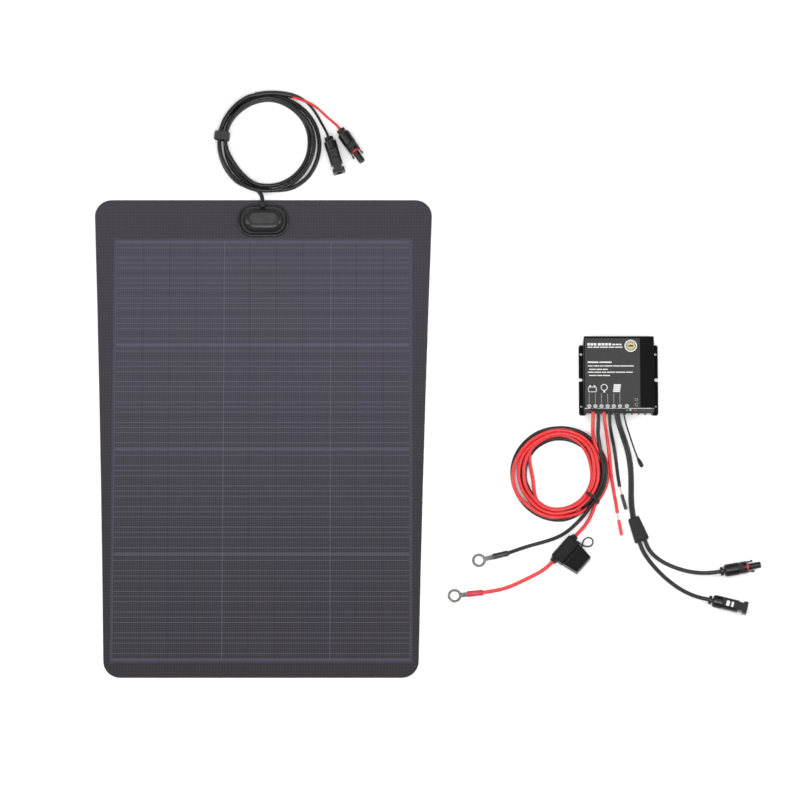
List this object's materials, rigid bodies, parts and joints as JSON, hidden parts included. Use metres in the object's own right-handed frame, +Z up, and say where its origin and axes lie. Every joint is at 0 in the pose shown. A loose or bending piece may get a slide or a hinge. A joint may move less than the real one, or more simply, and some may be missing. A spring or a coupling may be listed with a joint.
{
  "type": "solar panel charging kit",
  "caption": "Semi-flexible solar panel kit: tapered black panel with coiled lead and plugs, and a black charge controller with battery, load, panel and sensor leads.",
  "frame": {"origin": "centre of the underside of the solar panel", "axes": "+X across the panel toward the controller, +Y along the panel toward its junction box and lead, +Z up, out of the panel's lit face"},
  "size_m": [0.9852, 0.8987, 0.0362],
  "materials": {
    "film_matt_black": "matte, fine texture",
    "glass_fibre_board": "satin",
    "silicon_cell": "satin",
    "tinned_copper": "satin",
    "box_plastic_black": "satin",
    "cable_sheath_black": "semi-gloss",
    "cable_sheath_red": "semi-gloss",
    "strap_fabric_black": "matte",
    "rubber_black": "matte",
    "silicone_red": "satin",
    "coated_aluminium_black": "fine matte",
    "steel_screw": "satin",
    "circuit_board": "satin",
    "ferrite_and_copper": "satin",
    "electronic_parts": "satin",
    "label_film_grey": "satin",
    "led_plastic": "gloss",
    "brass_clip": "satin",
    "fuse_plastic": "gloss"
  },
  "bodies": {
    "panel_unit": {"cell_ribbons": "tinned_copper", "junction_box_base": "box_plastic_black", "junction_box_cover": "box_plastic_black", "junction_box_gasket": "rubber_black", "junction_box_gland": "box_plastic_black", "junction_box_terminals": "tinned_copper", "panel_back_board": "glass_fibre_board", "panel_black_core": "cable_sheath_black", "panel_connector_contacts": "tinned_copper", "panel_connector_seals": "silicone_red", "panel_front_film": "film_matt_black", "panel_lead_coil": "cable_sheath_black", "panel_lead_sleeve": "box_plastic_black", "panel_lead_tail": "cable_sheath_black", "panel_lead_wrap": "strap_fabric_black", "panel_plug_body": "box_plastic_black", "panel_red_core": "cable_sheath_red", "panel_socket_body": "box_plastic_black", "solar_cells": "silicon_cell"},
    "controller_unit": {"battery_black_lead": "cable_sheath_black", "battery_coil": "cable_sheath_red", "battery_coil_tie": "cable_sheath_black", "battery_red_end_lead": "cable_sheath_red", "battery_red_lead": "cable_sheath_red", "cable_grommet": "rubber_black", "controller_board": "circuit_board", "controller_case": "coated_aluminium_black", "controller_connector_contacts": "tinned_copper", "controller_connector_seals": "silicone_red", "controller_cover": "coated_aluminium_black", "controller_gasket": "rubber_black", "controller_heat_sink": "coated_aluminium_black", "controller_inductor": "ferrite_and_copper", "controller_label": "label_film_grey", "controller_plug_body": "box_plastic_black", "controller_power_parts": "electronic_parts", "controller_screws": "steel_screw", "controller_socket_body": "box_plastic_black", "fuse_contacts": "brass_clip", "fuse_holder_body": "box_plastic_black", "fuse_holder_strap": "rubber_black", "load_bare_ends": "tinned_copper", "load_black_lead": "cable_sheath_black", "load_insulation_slugs": "cable_sheath_red", "load_red_lead": "cable_sheath_red", "pv_twin_cable": "cable_sheath_black", "ring_terminals": "tinned_copper", "sensor_bead": "rubber_black", "sensor_lead": "cable_sheath_black", "splitter_block": "box_plastic_black", "splitter_lead_plug": "cable_sheath_black", "splitter_lead_socket": "cable_sheath_black", "status_leds": "led_plastic", "terminal_sleeves": "box_plastic_black"},
    "panel_plug_gland": {"panel_plug_nut": "box_plastic_black"},
    "panel_socket_gland": {"panel_socket_nut": "box_plastic_black"},
    "controller_plug_gland": {"controller_plug_nut": "box_plastic_black"},
    "controller_socket_gland": {"controller_socket_nut": "box_plastic_black"},
    "fuse_cap": {"fuse_holder_cap": "box_plastic_black"},
    "fuse_insert": {"blade_fuse": "fuse_plastic"}
  },
  "joints": [
    {"name": "controller_lift", "type": "slide", "parent": "panel_unit", "child": "controller_unit", "axis": [0, 0, 1], "range_m": [0, 0.25]},
    {"name": "panel_plug_nut_turn", "type": "hinge", "parent": "panel_unit", "child": "panel_plug_gland", "pos_m": [0.1145, 0.4726, 0.0093], "axis": [0.549, -0.8358, 0], "continuous": true},
    {"name": "panel_socket_nut_turn", "type": "hinge", "parent": "panel_unit", "child": "panel_socket_gland", "pos_m": [0.0968, 0.4606, 0.0093], "axis": [0.284, -0.9588, 0], "continuous": true},
    {"name": "controller_plug_nut_turn", "type": "hinge", "parent": "controller_unit", "child": "controller_plug_gland", "pos_m": [0.6743, -0.2066, 0.0093], "axis": [0.9851, 0.1719, 0], "continuous": true},
    {"name": "controller_socket_nut_turn", "type": "hinge", "parent": "controller_unit", "child": "controller_socket_gland", "pos_m": [0.6567, -0.249, 0.0093], "axis": [0.9715, -0.2368, 0], "continuous": true},
    {"name": "fuse_cap_pull", "type": "slide", "parent": "controller_unit", "child": "fuse_cap", "axis": [0.7536, -0.6574, 0], "range_m": [0, 0.034]},
    {"name": "fuse_pull", "type": "slide", "parent": "controller_unit", "child": "fuse_insert", "axis": [0.7536, -0.6574, 0], "range_m": [0, 0.017]}
  ],
  "couplings": [
    {"joint": "fuse_pull", "follows": "fuse_cap_pull", "ratio": 0.5}
  ]
}
